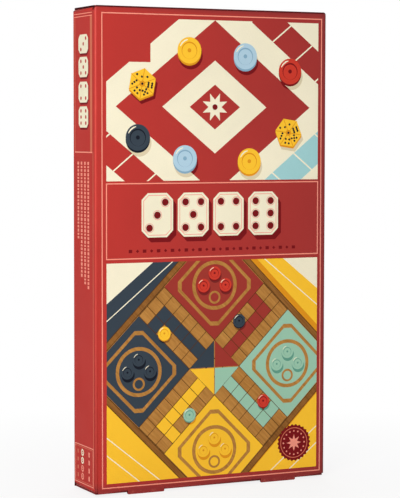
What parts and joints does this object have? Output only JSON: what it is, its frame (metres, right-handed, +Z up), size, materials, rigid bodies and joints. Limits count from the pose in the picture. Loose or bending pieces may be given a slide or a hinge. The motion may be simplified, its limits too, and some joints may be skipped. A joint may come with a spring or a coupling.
{
  "type": "boxed folding board game",
  "caption": "Printed tuck-end game carton standing on its short end, with lock tongues, hinged closures and dust flaps, holding a folding wooden board case and playing pieces.",
  "frame": {"origin": "on the ground under the middle of the box, at the level of the lock tongues' tips", "axes": "+Z up along the long side, -Y out of the printed front, +X to the right of the front"},
  "size_m": [0.161, 0.036, 0.3012],
  "materials": {
    "printed_card": "satin laminated print, red, inside unprinted",
    "plain_card": "unprinted matte",
    "board_veneer": "satin varnish over a printed track",
    "pine": "satin varnish",
    "brass": "polished",
    "painted_wood_red": "gloss paint",
    "painted_wood_navy": "gloss paint",
    "painted_wood_yellow": "gloss paint",
    "painted_wood_mint": "gloss paint",
    "die_wood": "satin, with dark dots",
    "leaflet_paper": "uncoated"
  },
  "bodies": {
    "carton": {"front_panel": "printed_card", "back_panel": "printed_card", "left_panel": "printed_card", "right_panel": "printed_card", "glue_flap": "plain_card"},
    "top_lid": {"top_closure": "printed_card", "top_tuck_flap": "printed_card"},
    "top_dust_left": {"top_dust_flap_left": "printed_card"},
    "top_dust_right": {"top_dust_flap_right": "printed_card"},
    "bottom_lid": {"bottom_closure": "printed_card", "bottom_tuck_flap": "printed_card"},
    "bottom_dust_left": {"bottom_dust_flap_left": "printed_card"},
    "bottom_dust_right": {"bottom_dust_flap_right": "printed_card"},
    "board_case": {"front_board": "board_veneer", "front_rail_top": "pine", "front_rail_bottom": "pine", "front_rail_left": "pine", "front_rail_right": "pine", "back_board": "board_veneer", "back_rail_top": "pine", "back_rail_bottom": "pine", "back_rail_left": "pine", "back_rail_right": "pine", "front_divider_lower": "pine", "front_divider_upper": "pine", "back_divider_lower": "pine", "back_divider_upper": "pine", "upper_hinge_front_leaf": "brass", "upper_hinge_back_leaf": "brass", "upper_hinge_pin": "brass", "upper_hinge_screws": "brass", "lower_hinge_front_leaf": "brass", "lower_hinge_back_leaf": "brass", "lower_hinge_pin": "brass", "lower_hinge_screws": "brass", "catch_pivot": "brass", "catch_stud": "brass", "pawns_red": "painted_wood_red", "pawns_navy": "painted_wood_navy", "pawns_yellow": "painted_wood_yellow", "pawns_mint": "painted_wood_mint", "die_left": "die_wood", "die_right": "die_wood", "rules_leaflet": "leaflet_paper"},
    "case_catch": {"catch_hook": "brass"}
  },
  "joints": [
    {"name": "top_lid_crease", "type": "hinge", "parent": "carton", "child": "top_lid", "pos_m": [0, 0.018, 0.3012], "axis": [-1, 0, 0], "range_deg": [0, 178]},
    {"name": "top_dust_left_crease", "type": "hinge", "parent": "carton", "child": "top_dust_left", "pos_m": [-0.0805, 0, 0.3], "axis": [0, -1, 0], "range_deg": [0, 90]},
    {"name": "top_dust_right_crease", "type": "hinge", "parent": "carton", "child": "top_dust_right", "pos_m": [0.0805, 0, 0.3], "axis": [0, 1, 0], "range_deg": [0, 90]},
    {"name": "bottom_lid_crease", "type": "hinge", "parent": "carton", "child": "bottom_lid", "pos_m": [0, -0.018, 0.0012], "axis": [-1, 0, 0], "range_deg": [0, 178]},
    {"name": "bottom_dust_left_crease", "type": "hinge", "parent": "carton", "child": "bottom_dust_left", "pos_m": [-0.0805, 0, 0.0024], "axis": [0, 1, 0], "range_deg": [0, 90]},
    {"name": "bottom_dust_right_crease", "type": "hinge", "parent": "carton", "child": "bottom_dust_right", "pos_m": [0.0805, 0, 0.0024], "axis": [0, -1, 0], "range_deg": [0, 90]},
    {"name": "case_lift", "type": "slide", "parent": "carton", "child": "board_case", "axis": [0, 0, 1], "range_m": [0, 0.0075]},
    {"name": "catch_swing", "type": "hinge", "parent": "board_case", "child": "case_catch", "pos_m": [-0.0735, 0.0063, 0.1473], "axis": [-1, 0, 0], "range_deg": [0, 95]}
  ],
  "couplings": [
    {"joint": "top_dust_left_crease", "follows": "top_lid_crease", "ratio": 0.5},
    {"joint": "top_dust_right_crease", "follows": "top_lid_crease", "ratio": 0.5},
    {"joint": "bottom_dust_left_crease", "follows": "bottom_lid_crease", "ratio": 0.5},
    {"joint": "bottom_dust_right_crease", "follows": "bottom_lid_crease", "ratio": 0.5}
  ]
}
